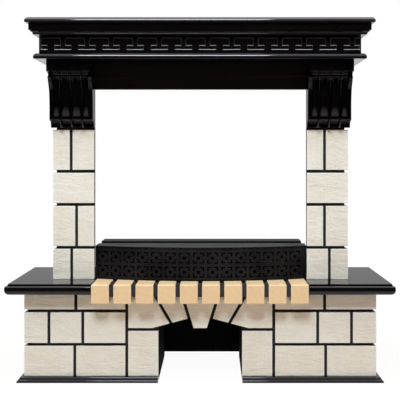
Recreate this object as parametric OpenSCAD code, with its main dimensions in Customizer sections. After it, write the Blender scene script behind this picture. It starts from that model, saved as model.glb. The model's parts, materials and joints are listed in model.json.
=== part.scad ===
// Stone-clad fireplace surround with a log niche, a bowed fender and a moulded mantel.
// Millimetres. The origin is on the floor, in the middle of the plan. +X is to the right
// of someone who faces the fire, +Y points at the wall and +Z is up.

/* [Hearth slab] */
// Width of the hearth slab over its side noses
slab_w = 1200; // [1160:5:1400]
// Depth of the hearth slab, from the wall to its front nose
slab_d = 395; // [385:1:398]
// Thickness of the hearth slab
slab_t = 34; // [30:1:40]
// Height of the slab's underside above the floor
base_h = 276; // [262:1:330]

/* [Boards and stones] */
// Thickness of the carcass boards
board_t = 16; // [12:1:19]
// Thickness of the cast stones that face the boards
stone_t = 10; // [6:1:12]
// Width of the open joints between stones
joint = 9.5; // [5:0.5:12]
// Fine joint where a front stone covers the end of a side stone
corner_joint = 0.5; // [0.3:0.1:2]

/* [Base] */
// Width of the base over its side stones
base_w = 1100; // [1040:5:1120]
// Depth of the base, from the wall to the face of its stones
base_d = 344; // [336:1:350]
// Height of the bottom course of base stones
course_low = 93.5; // [85:0.5:100]
// Height of the middle course of base stones
course_mid = 95.5; // [85:0.5:100]
// Clear width of the log niche
niche_w = 262; // [220:1:290]
// Height of the underside of the arch where it leaves the piers
niche_h = 166; // [150:1:170]
// Width of each pier stone beside the niche
pier_w = 94; // [70:1:100]
// Gap between the floor and the niche's back panel
niche_back_gap = 15; // [5:1:30]
// Height of the rails that tie the back of the base
rail_h = 80; // [50:1:120]

/* [Arch stones] */
// Slope of the arch's underside, in degrees
arch_slope = 15; // [8:1:18]
// Flat part of each springer's underside, measured from its outer end
springer_flat = 75; // [60:1:80]
// Half width of the keystone at its lower end
key_half = 20.6; // [15:0.1:25]
// Lean of the keystone's sides, in degrees
key_lean = 17; // [12:1:20]
// Lean of the joint between voussoir and springer, in degrees
springer_lean = 30; // [24:1:34]
// Distance from the middle to the springer's inner lower corner
springer_in = 96.4; // [85:0.1:105]

/* [Skirting] */
// Height of the skirting
skirt_h = 16.5; // [12:0.5:18]
// How far the skirting's foot stands out from the boards
skirt_out = 30; // [24:1:34]
// How far the skirting's top edge stands out from the boards
skirt_top = 20; // [14:1:22]

/* [Beam ends] */
// Number of beam ends
beam_count = 10; // [6:1:10]
// Distance in plan from the row of beam ends to the columns
beam_margin = 6.6; // [4:0.1:20]
// Gap between two beam ends
beam_gap = 13.2; // [8:0.1:14]
// How far the beam ends stand in front of the slab's nose
beam_out = 4; // [4:1:17]
// How far the beam ends hang below the slab's underside
beam_drop = 25; // [12:1:30]
// How far the spacers between the beam ends hang below the slab's underside
spacer_drop = 4; // [2:1:8]
// Side gap between the outer beam ends and the slab
beam_side_gap = 2.6; // [1:0.1:3.5]
// Gap between the beam ends and the edge of the slab's cut-out
beam_end_gap = 5; // [2:0.5:10]
// Air between the beam ends and the stones behind them
stone_gap = 0.5; // [0.1:0.1:2]
// Depth of the spacers' top, behind the slab's nose, in the middle
spacer_d = 34.5; // [24:0.5:45]
// Side of the square batten under the edge of the cut-out
batten = 28; // [20:1:34]

/* [Columns] */
// Clear width between the columns
opening_w = 680; // [640:1:700]
// Width of a column over its stones
column_w = 131.5; // [115:0.5:135]
// Depth of a column, from the wall to the face of its stones
column_d = 284; // [270:1:290]
// Height of the columns, from the slab to the mantel
column_h = 693; // [670:1:760]
// Height of a low course of column stones
course_a = 96.5; // [90:0.5:98]
// Gap between the top stones and the foot of the corbel
corbel_gap = 6.5; // [3:0.5:15]
// Height of the apron board below the mantel
apron_h = 86; // [60:1:110]

/* [Corbels] */
// Width of a corbel
corbel_w = 137; // [120:0.5:140]
// Height of a corbel
corbel_h = 209; // [200:1:212]
// How far a corbel overlaps the clear opening
corbel_in = 1; // [0:0.5:3]
// How far a corbel's top block stands in front of the column stones
corbel_out = 88; // [70:1:92]
// Width of the beads between a corbel's flutes
bead_w = 5.6; // [4:0.1:8]
// How far the beads stand out from the flutes
bead_out = 3; // [1:0.5:5]

/* [Mantel] */
// Width of the mantel shelf
mantel_w = 1070; // [1030:2:1120]
// Depth of the mantel shelf, from the wall to its nose
mantel_d = 412; // [405:1:430]
// Thickness of the mantel shelf
shelf_t = 17; // [15:0.5:25]
// Thickness of the moulded board under the frieze
sill_t = 17.5; // [15:0.5:25]
// Setback of that board's nose behind the shelf's nose
sill_back = 22.5; // [20:0.5:30]
// Setback of the frieze's face behind the shelf's nose
frieze_back = 37.5; // [34:0.5:45]
// Height of the frieze and crown together
frieze_h = 91; // [84:1:110]
// Setback of the crown's fascia behind the shelf's nose
crown_back = 10.5; // [8:0.5:14]
// Height of the crown's fascia
fascia_h = 22; // [16:1:26]
// Height of the crown's moulding below its fascia
cove_h = 12.5; // [10:0.5:16]
// Setback of that moulding's foot behind the fascia
crown_foot_back = 10.5; // [8:0.5:14]

/* [Fretwork] */
// Thickness of the fretwork strip
fret_t = 8; // [4:0.5:10]
// Distance from one T to the next
fret_pitch = 74.5; // [70:0.5:80]
// Distance of the middle opening from the centre of the frieze
fret_shift = 23.2; // [0:0.1:36]
// Height of the fretwork's bottom rail
fret_rail = 12.8; // [8:0.1:15]
// Height of the wide part of an opening
fret_low = 11.7; // [8:0.1:14]
// Gap between the fretwork's top edge and the crown
fret_gap = 8.5; // [1:0.5:10]
// Solid stretch left beside each corner of the fretwork
fret_post = 5; // [3:0.5:12]
// Width of the wide part of an opening
fret_wide = 50.6; // [44:0.1:56]
// Width of the narrow part of an opening, which runs out at the top
fret_slot = 13.6; // [8:0.1:20]

/* [Fender] */
// Gap between the fender and the columns on each side
fender_side_gap = 0.6; // [0.5:0.1:30]
// Height of the fender above the slab
fender_h = 105; // [96:0.5:120]
// Distance from the slab's nose to the middle of the fender
fender_y = 78; // [68:1:84]
// How much the fender bows forward over its width
fender_bow = 57.5; // [40:0.5:62]
// Distance from the wall to the back edge of the fender's rim
rim_back = 187; // [165:1:190]
// Thickness of the fender's pierced sheet
sheet_t = 2.5; // [1.5:0.5:4]
// Thickness of the rim and the cheeks
rim_t = 2; // [1.5:0.5:3]
// Height of the flange folded down at the back of the rim
flange_h = 20; // [10:1:30]
// Clearance under the fender
fender_gap = 0.3; // [0.2:0.1:1]
// Distance from the fender's sheet to the edge of the slab's cut-out
fender_edge = 2; // [1:0.5:8]
// Distance between two motifs of the pierced pattern
motif = 44.8; // [42:0.1:50]
// Distance of the middle motif from the centre of the fender
motif_shift = -6; // [-20:1:20]
// Height of the lowest row of motifs above the slab
motif_z = 26; // [24:0.1:30]
// Outer size of the four corner slots of a motif
motif_span = 35; // [30:0.5:38]
// Length of an arm of a corner slot
slot_arm = 13; // [9:0.5:14]
// Width of the corner slots
slot_w = 4.5; // [2.5:0.5:5]
// Side of the square hole in the middle of a motif
hole_w = 9.5; // [6:0.5:12]
// Diameter of the fender's locating pegs
peg_d = 6; // [4:0.5:8]
// Length of the fender's locating pegs
peg_l = 10; // [6:1:14]
// Radial clearance of the pegs in the slab
peg_gap = 0.3; // [0.2:0.1:0.6]

/* [Insert ledge] */
// How far the ledge's uprights reach behind the columns
ledge_lap = 20; // [0:1:30]
// Gap between the ledge's ends and the inner faces of the columns, in plan
ledge_side_gap = 0; // [0:1:40]
// Depth of the ledge's top
ledge_d = 79; // [60:1:90]
// Distance from the wall to the back of the ledge
ledge_back = 33; // [20:1:50]
// Height of the ledge above the slab
ledge_h = 104; // [80:1:120]

/* [Fittings] */
// Diameter of the dowels
dowel_d = 8; // [6:1:10]
// Length of the dowels
dowel_l = 30; // [24:1:40]
// Radial clearance of dowels and screws in their bores
bore_gap = 0.1; // [0.05:0.05:0.2]
// Leg length of the steel corner brackets
bracket_leg = 30; // [24:1:40]
// Width of the steel corner brackets
bracket_w = 20; // [16:1:30]
// Thickness of the steel corner brackets
bracket_t = 2; // [1.5:0.5:3]
// Diameter of the bracket screws
screw_d = 4; // [3:0.5:5]
// Length of the bracket screws under the head
screw_l = 13; // [10:1:14]
// Diameter of the two holes for fixing to the wall
wall_hole_d = 6; // [5:0.5:8]
// Distance between the two holes for fixing to the wall
wall_hole_pitch = 760; // [600:10:900]

/* [Hidden] */

eps = 0.5;                       // how far a cutter runs past the face that it cuts
LACQUER = [0.09, 0.07, 0.07];
BOARD = [0.13, 0.08, 0.07];
STONE = [0.87, 0.84, 0.78];
PINE = [0.89, 0.77, 0.58];
SHEET = [0.16, 0.15, 0.16];
STEEL = [0.62, 0.63, 0.65];
DOWEL = [0.80, 0.66, 0.46];

// Depth planes, front to back
wall_y = max(mantel_d, slab_d + beam_out) / 2;
nose_y = wall_y - slab_d;
base_stone_y = wall_y - base_d;
base_y = base_stone_y + stone_t;
column_stone_y = wall_y - column_d;
column_y = column_stone_y + stone_t;
shelf_y = wall_y - mantel_d;
sill_y = shelf_y + sill_back;
fret_y = shelf_y + frieze_back;
frieze_y = fret_y + fret_t;

// Heights, floor to top
slab_z = base_h;
slab_top = base_h + slab_t;
mantel_z = slab_top + column_h;
frieze_z = mantel_z + sill_t;
shelf_z = frieze_z + frieze_h;
top_z = shelf_z + shelf_t;
course_z = [skirt_h, skirt_h + course_low + joint,
            skirt_h + course_low + course_mid + 2 * joint, base_h + joint];

// Half widths
base_x = base_w / 2 - stone_t;
niche_x = niche_w / 2;
main_joint_x = niche_x + pier_w;
open_x = opening_w / 2;
column_x = open_x + column_w - stone_t;
shelf_x = mantel_w / 2;
frieze_x = shelf_x - frieze_back - fret_t;

// The fender's front is an arc, and the cut-out and the beam ends follow it.
fender_x = open_x - fender_side_gap;
fender_front = nose_y + fender_y;
bow_r = (pow(fender_x, 2) + pow(fender_bow, 2)) / (2 * fender_bow);
bow_y = fender_front + bow_r;
cutout_r = bow_r + fender_edge;
beam_r = cutout_r + beam_end_gap;
spacer_r = bow_y - (nose_y + spacer_d);
rim_y = wall_y - rim_back;
fender_z = slab_top + fender_gap;

// The row of beam ends
row_x = open_x - beam_margin;
beam_w = (2 * row_x - (beam_count - 1) * beam_gap) / beam_count;
beam_pitch = beam_w + beam_gap;
cutout_x = row_x + beam_side_gap;

// Where upright joints fall between stones, measured outwards from the middle of the
// surround, or backwards from the front board on the sides
base_splits = [[392.3], [367.3, 473], [388.8]];
base_side_splits = [[160], [96, 226], [148]];
column_splits_left = [[412.4], [396.6], [], [413.9]];
column_splits_right = [[412.3], [396.6], [], [396.6]];
column_side_splits = [[130], [84, 190], [140], [92, 196], [128], [88, 192]];

function arc(cx, cy, r, from, to, steps) =
    [for (i = [0:steps]) let (a = from + (to - from) * i / steps)
        [cx + r * cos(a), cy + r * sin(a)]];
function bezier(p, steps) =
    [for (i = [0:steps]) let (t = i / steps, u = 1 - t)
        u * u * u * p[0] + 3 * u * u * t * p[1] + 3 * u * t * t * p[2] + t * t * t * p[3]];
function stretches(from, to, splits) =
    [for (i = [0:len(splits)])
        [i == 0 ? from : splits[i - 1] + joint / 2,
         i == len(splits) ? to : splits[i] - joint / 2]];

module box(low, high) {
    translate(low) cube(high - low);
}

// A bar along X whose section is drawn in Y and Z
module bar_x(from, to, section) {
    translate([from, 0, 0]) rotate([90, 0, 90]) linear_extrude(to - from) polygon(section);
}

// A bar along Y whose section is drawn in X and Z
module bar_y(from, to, section) {
    translate([0, to, 0]) rotate([90, 0, 0]) linear_extrude(to - from) polygon(section);
}

module both_sides() {
    children();
    mirror([1, 0, 0]) children();
}

module side(s) {
    if (s < 0) mirror([1, 0, 0]) children();
    else children();
}

// A board whose front and side edges are moulded. The edge is a list of points
// [distance behind the nose, height], from the underside up.
module moulded_board(half, front, edge) {
    low = edge[0][1];
    high = edge[len(edge) - 1][1];
    intersection() {
        bar_x(-half, half, concat([for (p = edge) [front + p[0], p[1]]],
            [[wall_y, high], [wall_y, low]]));
        bar_y(front, wall_y, concat([for (p = edge) [half - p[0], p[1]]],
            [for (i = [len(edge) - 1:-1:0]) [edge[i][0] - half, edge[i][1]]]));
    }
}

// Plan shape that cuts a moulding to its mitres. The inner corner is at [half, front].
module front_mitre(half, front, out) {
    polygon([[-half, front], [half, front], [half + out, front - out], [-half - out, front - out]]);
}

module side_mitre(half, front, out) {
    polygon([[half, front], [half + out, front - out], [half + out, wall_y], [half, wall_y]]);
}

// A moulding that runs round the front and the sides of a box. The section is a list of
// points [how far it stands out, height]. cut is "front" or "sides".
module moulding(half, front, section, cut) {
    out = max([for (p = section) p[0]]) + 1;
    high = max([for (p = section) p[1]]) + 1;
    if (cut == "front")
        intersection() {
            bar_x(-half - out, half + out, [for (p = section) [front - p[0], p[1]]]);
            linear_extrude(high) front_mitre(half, front, out);
        }
    else
        both_sides() intersection() {
            bar_y(front - out, wall_y, [for (p = section) [half + p[0], p[1]]]);
            linear_extrude(high) side_mitre(half, front, out);
        }
}

// Flat boards and openings

module niche_outline(bottom) {
    rise = tan(arch_slope);
    flat_x = main_joint_x - springer_flat;
    jamb = niche_h + (flat_x - niche_x) * rise;
    polygon([[-niche_x, bottom], [niche_x, bottom], [niche_x, jamb],
        [0, niche_h + flat_x * rise], [-niche_x, jamb]]);
}

module base_front_board() {
    color(BOARD) difference() {
        box([-base_x, base_y, 0], [base_x, base_y + board_t, base_h]);
        translate([0, base_y + board_t + eps, 0]) rotate([90, 0, 0])
            linear_extrude(board_t + 2 * eps) niche_outline(-eps);
        base_bores();
    }
}

module base_side_board(s) {
    color(BOARD) difference() {
        side(s) box([base_x - board_t, base_y + board_t, 0], [base_x, wall_y, base_h]);
        base_bores();
    }
}

module niche_sides() {
    color(BOARD) difference() {
        both_sides() difference() {
            box([niche_x, base_y + board_t, 0], [niche_x + board_t, wall_y - board_t, base_h]);
            box([niche_x - eps, base_y + board_t - eps, base_h - batten],
                [niche_x + board_t + eps, base_y + board_t + batten, base_h + eps]);
        }
        base_bores();
    }
}

module niche_back_panel() {
    color(BOARD) box([-niche_x - board_t, wall_y - board_t, niche_back_gap],
        [niche_x + board_t, wall_y, base_h]);
}

module base_rear_rails() {
    color(BOARD) both_sides() box([niche_x + board_t, wall_y - board_t, base_h - rail_h],
        [base_x - board_t, wall_y, base_h]);
}

module slab_batten() {
    color(BOARD) box([-row_x, base_y + board_t, base_h - batten],
        [row_x, base_y + board_t + batten, base_h]);
}

// Hearth slab and the row of beam ends

slab_under = 16;                 // radius under the slab's nose
slab_round = 7;                  // radius of the upper part of the nose
slab_step = 5;                   // height of the step above the nose

function slab_edge() = concat(
    arc(slab_under, slab_z + slab_under, slab_under, 270, 180, 8),
    arc(slab_round, slab_top - slab_step - slab_round, slab_round, 180, 90, 6),
    [[slab_round + 2, slab_top - slab_step], [slab_round + 2, slab_top]]);

module bow(r, low, high) {
    translate([0, bow_y, low]) cylinder(r = r, h = high - low, $fn = 180);
}

module hearth_slab() {
    color(LACQUER) difference() {
        moulded_board(slab_w / 2, nose_y, slab_edge());
        difference() {
            box([-cutout_x, nose_y - eps, slab_z - eps],
                [cutout_x, bow_y - bow_r + 2 * fender_bow, slab_top + eps]);
            bow(cutout_r, slab_z - 2 * eps, slab_top + 2 * eps);
        }
        base_bores();
        column_bores();
        ledge_bores();
        screw_bores();
        peg_bores();
    }
}

function beam_x(i) = (i - (beam_count + 1) / 2) * beam_pitch;

module beam_end(i) {
    front = nose_y - beam_out;
    color(PINE) difference() {
        translate([beam_x(i) - beam_w / 2, 0, 0]) union() {
            box([0, front, base_h - beam_drop],
                [beam_w, base_stone_y - stone_gap, slab_top]);
            box([0, front, base_h], [beam_w, base_y + board_t + 2 * fender_bow, slab_top]);
        }
        bow(beam_r, slab_z - beam_drop, slab_top + eps);
    }
}

module beam_spacers() {
    color(LACQUER) for (i = [1:beam_count - 1]) difference() {
        translate([beam_x(i) + beam_w / 2, 0, 0]) union() {
            box([0, nose_y, base_h - spacer_drop],
                [beam_gap, base_stone_y - stone_gap, slab_top]);
            box([0, nose_y, base_h], [beam_gap, base_y + board_t + fender_bow, slab_top]);
        }
        bow(spacer_r, slab_z - beam_drop, slab_top + eps);
    }
}

// Skirting

skirt_round = 5;
skirt_foot = 3.5;

function skirt_section() = concat(
    [[0, 0], [skirt_out, 0], [skirt_out, skirt_foot]],
    arc(skirt_out - skirt_round - 1, skirt_foot, skirt_round, 0, 90, 5),
    arc(skirt_top - skirt_round / 2, skirt_h - skirt_round, skirt_round, 0, 90, 5),
    [[0, skirt_h]]);

module skirting_front(s) {
    color(LACQUER) intersection() {
        moulding(base_x, base_y, skirt_section(), "front");
        side(s) box([niche_x, base_y - 2 * skirt_out, 0], [slab_w, base_y, 2 * skirt_h]);
    }
}

module skirting_returns() {
    color(LACQUER) moulding(base_x, base_y, skirt_section(), "sides");
}

// Stones of the base

module front_course(from, to, low, high, splits, front, s) {
    for (p = stretches(from, to, splits))
        side(s) box([p[0], front, low], [p[1], front + stone_t, high]);
}

module side_course(face, front, low, high, splits, s) {
    for (p = stretches(front + corner_joint, wall_y, [for (d = splits) front + d]))
        side(s) box([face, p[0], low], [face + stone_t, p[1], high]);
}

module base_course(k) {
    low = course_z[k];
    high = course_z[k + 1] - joint;
    for (s = [-1, 1]) {
        front_course(main_joint_x + joint, base_w / 2, low, high, base_splits[k], base_stone_y, s);
        side_course(base_x, base_y, low, high, base_side_splits[k], s);
    }
}

module pier_stone(s) {
    color(STONE) front_course(niche_x, main_joint_x, skirt_h, niche_h - joint, [],
        base_stone_y, s);
}

module arch_stone(points) {
    translate([0, base_stone_y + stone_t, 0]) rotate([90, 0, 0])
        linear_extrude(stone_t) polygon(points);
}

// Height of the arch's underside at a distance from the middle
function soffit(x) = niche_h + (main_joint_x - springer_flat - x) * tan(arch_slope);
function leaning(x, low, lean) = x + (base_h - low) * tan(lean);

module springer(s) {
    low = soffit(springer_in);
    color(STONE) side(s) arch_stone([
        [main_joint_x, niche_h], [main_joint_x, base_h],
        [leaning(springer_in, low, springer_lean), base_h], [springer_in, low],
        [main_joint_x - springer_flat, niche_h]]);
}

// The voussoir's two edges run parallel to its neighbours', one joint away.
module voussoir(s) {
    rise = tan(arch_slope);
    outer = springer_in - joint / (cos(springer_lean) + rise * sin(springer_lean));
    lean = tan(key_lean);
    inner = (key_half + joint / cos(key_lean) + (main_joint_x - springer_flat) * rise * lean)
        / (1 + rise * lean);
    color(STONE) side(s) arch_stone([
        [outer, soffit(outer)], [leaning(outer, soffit(outer), springer_lean), base_h],
        [leaning(inner, soffit(inner), key_lean), base_h], [inner, soffit(inner)]]);
}

module keystone() {
    top = leaning(key_half, niche_h, key_lean);
    color(STONE) arch_stone([[-key_half, niche_h], [key_half, niche_h],
        [top, base_h], [-top, base_h]]);
}

// Columns

module column_front_board(s) {
    color(BOARD) difference() {
        side(s) box([open_x, column_y, slab_top], [column_x, column_y + board_t, mantel_z]);
        column_bores();
        mantel_bores();
    }
}

module column_side_board(s) {
    color(BOARD) difference() {
        side(s) box([column_x - board_t, column_y + board_t, slab_top],
            [column_x, wall_y, mantel_z]);
        column_bores();
        mantel_bores();
        screw_bores();
    }
}

// Low and high courses alternate. The corbel covers the front above the fourth one, and
// the sides go on up to the mantel.
course_b = (column_h - corbel_h - corbel_gap - 2 * course_a - 3 * joint) / 2;
column_course_h = [course_a, course_b, course_a, course_b, course_a];
function column_course_z(k) = k == 0 ? slab_top
    : column_course_z(k - 1) + column_course_h[k - 1] + joint;

module column_stones(s, splits) {
    color(STONE) for (k = [0:5]) {
        low = column_course_z(k);
        high = k < 5 ? low + column_course_h[k] : mantel_z;
        if (k < len(splits))
            front_course(open_x, column_x + stone_t, low, high, splits[k], column_stone_y, s);
        side_course(column_x, column_y, low, high, column_side_splits[k], s);
    }
}

module apron_board() {
    color(LACQUER) box([-open_x, column_y, mantel_z - apron_h],
        [open_x, column_y + board_t, mantel_z]);
}

// Corbels. A profile is a list of points [how far it stands in front of the column
// stones, height above the corbel's foot], from the foot up.

function scroll(raise) = concat(
    [[9 + raise, 0], [11 + raise, 3], [11 + raise, 10], [16 + raise, 12.5], [17 + raise, 21]],
    arc(28 + raise, 29, 9, -100, 35, 8));
function s_curve(low, high) = bezier(
    [low, [low[0] - 6, low[1] + 52], [low[0] + 4, low[1] + 62], high], 10);
function flute_profile() = concat(scroll(0),
    s_curve([38, 39], [corbel_out - 32, corbel_h - 58]),
    arc(corbel_out - 20, corbel_h - 49, 9, 215, 90, 6),
    [[corbel_out, corbel_h - 36], [corbel_out, corbel_h]]);
function bead_profile() = concat(scroll(bead_out / 2),
    s_curve([38 + bead_out, 41], [corbel_out - 26, corbel_h - 54]),
    arc(corbel_out - 18, corbel_h - 47, 9 + bead_out, 215, 90, 6),
    [[corbel_out, corbel_h - 36], [corbel_out, corbel_h]]);

module corbel(s) {
    foot = mantel_z - corbel_h;
    inner = open_x - corbel_in;
    color(LACQUER) side(s) union() {
        bar_x(inner, inner + corbel_w, concat([[column_y, foot]],
            [for (p = flute_profile()) [column_stone_y - p[0], foot + p[1]]],
            [[column_y, mantel_z]]));
        for (k = [1:3]) translate([inner + corbel_w * k / 4, 0, 0])
            bar_x(-bead_w / 2, bead_w / 2, concat([[column_y, foot]],
                [for (p = bead_profile()) [column_stone_y - p[0], foot + p[1]]],
                [[column_y, mantel_z]]));
    }
}

// Mantel

sill_round = 11.5;               // radius of the sill's nose
shelf_round = 13;                // radius of the shelf's nose
nose_under = 3;                  // radius under both noses

function nose_edge(low, high, round) = concat(
    arc(nose_under, low + nose_under, nose_under, 270, 180, 4),
    arc(round, high - round, round, 180, 90, 8));

module mantel_sill() {
    color(LACQUER) difference() {
        moulded_board(shelf_x - sill_back, sill_y, nose_edge(mantel_z, frieze_z, sill_round));
        mantel_bores();
        screw_bores();
    }
}

module frieze_front_board() {
    color(BOARD) box([-frieze_x, frieze_y, frieze_z], [frieze_x, frieze_y + board_t, shelf_z]);
}

module frieze_side_boards() {
    color(BOARD) both_sides() box([frieze_x - board_t, frieze_y + board_t, frieze_z],
        [frieze_x, wall_y, shelf_z]);
}

cove_z = shelf_z - fascia_h - cove_h;
fret_h = cove_z - fret_gap - frieze_z;

// Outline of a fretwork strip: a rail with T-shaped teeth. shift is the middle of one
// opening.
module fret_outline(from, to, shift) {
    difference() {
        translate([from, 0]) square([to - from, fret_h]);
        intersection() {
            for (k = [ceil((from - shift) / fret_pitch - 1):floor((to - shift) / fret_pitch + 1)])
                translate([shift + k * fret_pitch, 0]) {
                    translate([-fret_wide / 2, fret_rail]) square([fret_wide, fret_low]);
                    translate([-fret_slot / 2, fret_rail]) square([fret_slot, fret_h]);
                }
            translate([from + fret_post, 0]) square([to - from - 2 * fret_post, 2 * fret_h]);
        }
    }
}

module fretwork_front() {
    half = frieze_x + fret_t;
    color(LACQUER) intersection() {
        translate([0, frieze_y, frieze_z]) rotate([90, 0, 0])
            linear_extrude(fret_t) fret_outline(-half, half, fret_shift);
        translate([0, 0, frieze_z]) linear_extrude(fret_h) front_mitre(frieze_x, frieze_y, fret_t);
    }
}

// The returns fill the height up to the crown, so that they close the corners.
module fretwork_returns() {
    high = fret_h + fret_gap;
    color(LACQUER) both_sides() intersection() {
        translate([frieze_x, 0, frieze_z]) rotate([90, 0, 90]) linear_extrude(fret_t) {
            fret_outline(fret_y, wall_y, frieze_y + fret_pitch / 2);
            translate([fret_y, fret_h]) square([wall_y - fret_y, fret_gap]);
        }
        translate([0, 0, frieze_z]) linear_extrude(high) side_mitre(frieze_x, frieze_y, fret_t);
    }
}

crown_bead = 2.5;                // radius of the bead at the crown's foot
crown_quirk = 1.4;               // radius of the fine bead under the fascia

function crown_section() =
    let (face = frieze_back + fret_t - crown_back, mid = shelf_z - fascia_h,
         foot = face - crown_foot_back, neck = cove_z + 2 * crown_bead)
    concat([[0, cove_z]],
        arc(foot - crown_bead, cove_z + crown_bead, crown_bead, 270, 420, 6),
        bezier([[foot - 1, neck], [foot, neck + 2], [foot + 3, mid - 5], [face - 5.3, mid - 2.9]], 5),
        arc(face - 6, mid - crown_quirk, crown_quirk, -60, 90, 5),
        [[face, mid], [face, shelf_z], [0, shelf_z]]);

module crown_front() {
    color(LACQUER) moulding(frieze_x, frieze_y, crown_section(), "front");
}

module crown_returns() {
    color(LACQUER) moulding(frieze_x, frieze_y, crown_section(), "sides");
}

module mantel_shelf() {
    color(LACQUER) moulded_board(shelf_x, shelf_y, nose_edge(shelf_z, top_z, shelf_round));
}

module mantel_rear_rail() {
    color(BOARD) difference() {
        box([board_t - frieze_x, wall_y - board_t, frieze_z], [frieze_x - board_t, wall_y, shelf_z]);
        both_sides() translate([wall_hole_pitch / 2, wall_y + eps, frieze_z + frieze_h / 2])
            rotate([90, 0, 0]) cylinder(d = wall_hole_d, h = board_t + 2 * eps, $fn = 48);
    }
}

// Fender

module corner_slot() {
    translate([motif_span / 2 - slot_arm, motif_span / 2 - slot_w]) square([slot_arm, slot_w]);
    translate([motif_span / 2 - slot_w, motif_span / 2 - slot_arm]) square([slot_w, slot_arm]);
}

module pierced_motif() {
    square(hole_w, center = true);
    for (a = [0, 90, 180, 270]) rotate(a) corner_slot();
}

module fender_pattern(height) {
    margin = 2;                  // solid sheet left along the edges
    edge = fender_x - rim_t - 3 * margin;
    columns = floor(edge / motif);
    intersection() {
        for (k = [-columns:columns], row = [0:2])
            let (turn = (motif_shift + k * motif) / bow_r * 180 / PI)
            translate([bow_r * sin(turn), motif_z + row * motif])
                scale([cos(turn), 1]) pierced_motif();
        translate([-edge, margin]) square([2 * edge, height - 2 * margin]);
    }
}

module fender_grille() {
    height = fender_h - rim_t - fender_gap;
    color(SHEET) translate([0, 0, fender_z]) intersection() {
        difference() {
            bow(bow_r, 0, height);
            bow(bow_r - sheet_t, -eps, height + eps);
        }
        translate([0, fender_front + 1.5 * fender_bow, 0]) rotate([90, 0, 0])
            linear_extrude(2 * fender_bow) difference() {
                translate([rim_t - fender_x, 0]) square([2 * (fender_x - rim_t), height]);
                fender_pattern(height);
            }
    }
}

module fender_rim() {
    low = slab_top + fender_h - rim_t;
    lip = 1;
    color(SHEET) {
        intersection() {
            bow(bow_r + lip, low, low + rim_t);
            box([-fender_x, fender_front - 2 * lip, low], [fender_x, rim_y, low + rim_t]);
        }
        box([rim_t - fender_x, rim_y - rim_t, low - flange_h], [fender_x - rim_t, rim_y, low]);
    }
}

cheek_front = bow_y - sqrt(pow(bow_r, 2) - pow(fender_x - rim_t, 2));
tab_w = 22;

module fender_cheeks() {
    color(SHEET) both_sides() {
        box([fender_x - rim_t, cheek_front, fender_z],
            [fender_x, rim_y, slab_top + fender_h - rim_t]);
        box([fender_x - rim_t - tab_w, cheek_front + 3 * sheet_t, fender_z],
            [fender_x - rim_t, rim_y - 2 * rim_t, fender_z + rim_t]);
    }
}

module at_pegs() {
    for (y = [cheek_front + tab_w, rim_y - tab_w])
        both_sides() translate([fender_x - rim_t - tab_w / 2, y, 0]) children();
}

module fender_pegs() {
    color(STEEL) at_pegs() translate([0, 0, fender_z - peg_l])
        cylinder(d = peg_d, h = peg_l, $fn = 48);
}

module peg_bores() {
    at_pegs() translate([0, 0, slab_top - peg_l - 1])
        cylinder(r = peg_d / 2 + peg_gap, h = peg_l + 1 + eps, $fn = 48);
}

// Ledge that carries the back of a fire insert

ledge_x = open_x - ledge_side_gap;
ledge_y = wall_y - ledge_back - ledge_d;
ledge_z = slab_top + ledge_h - board_t;

module ledge_uprights() {
    color(LACQUER) difference() {
        for (y = [ledge_y, ledge_y + ledge_d - board_t])
            box([-open_x - ledge_lap, y, slab_top], [open_x + ledge_lap, y + board_t, ledge_z]);
        ledge_bores();
    }
}

module ledge_top() {
    color(LACQUER) box([-ledge_x, ledge_y, ledge_z], [ledge_x, ledge_y + ledge_d, ledge_z + board_t]);
}

// Fittings

dowel_inset = 60;                // from the end of a board to its first dowel
bracket_inset = 100;             // from the end of a board to its first bracket

module at_base_dowels() {
    both_sides() {
        for (x = [niche_x, base_x - board_t], y = [base_y + dowel_inset, wall_y - dowel_inset])
            translate([x + board_t / 2, y, base_h]) children();
        translate([open_x + dowel_inset, base_y + board_t / 2, base_h]) children();
    }
}

module at_column_dowels(z) {
    both_sides() {
        for (y = [column_y + dowel_inset, wall_y - dowel_inset])
            translate([column_x - board_t / 2, y, z]) children();
        translate([open_x + dowel_inset, column_y + board_t / 2, z]) children();
    }
}

module at_ledge_dowels() {
    both_sides() for (y = [ledge_y, ledge_y + ledge_d - board_t])
        translate([ledge_x - dowel_inset, y + board_t / 2, slab_top]) children();
}

module dowel(gap) {
    cylinder(r = dowel_d / 2 + gap, h = dowel_l + 10 * gap, center = true, $fn = 48);
}

module base_bores() {
    at_base_dowels() dowel(bore_gap);
}

module column_bores() {
    at_column_dowels(slab_top) dowel(bore_gap);
}

module mantel_bores() {
    at_column_dowels(mantel_z) dowel(bore_gap);
}

module ledge_bores() {
    at_ledge_dowels() dowel(bore_gap);
}

module dowels() {
    color(DOWEL) {
        at_base_dowels() dowel(0);
        at_column_dowels(slab_top) dowel(0);
        at_column_dowels(mantel_z) dowel(0);
        at_ledge_dowels() dowel(0);
    }
}

// Each bracket sits in the inner corner of a column, at its foot and under the mantel.
module at_brackets() {
    inner = column_x - board_t;
    both_sides() for (y = [column_y + bracket_inset, wall_y - bracket_inset]) {
        translate([inner, y, slab_top]) children();
        translate([inner, y, mantel_z]) mirror([0, 0, 1]) children();
    }
}

module corner_bracket() {
    hole = screw_d / 2 + bore_gap;
    difference() {
        union() {
            box([-bracket_leg, -bracket_w / 2, 0], [0, bracket_w / 2, bracket_t]);
            box([-bracket_t, -bracket_w / 2, 0], [0, bracket_w / 2, bracket_leg]);
        }
        at_screws() translate([0, 0, -eps]) cylinder(r = hole, h = bracket_t + 2 * eps, $fn = 32);
    }
}

// The screws' own Z points out of the wood.
module at_screws() {
    translate([-bracket_leg * 0.65, 0, 0]) children();
    translate([0, 0, bracket_leg * 0.65]) rotate([0, -90, 0]) children();
}

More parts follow.
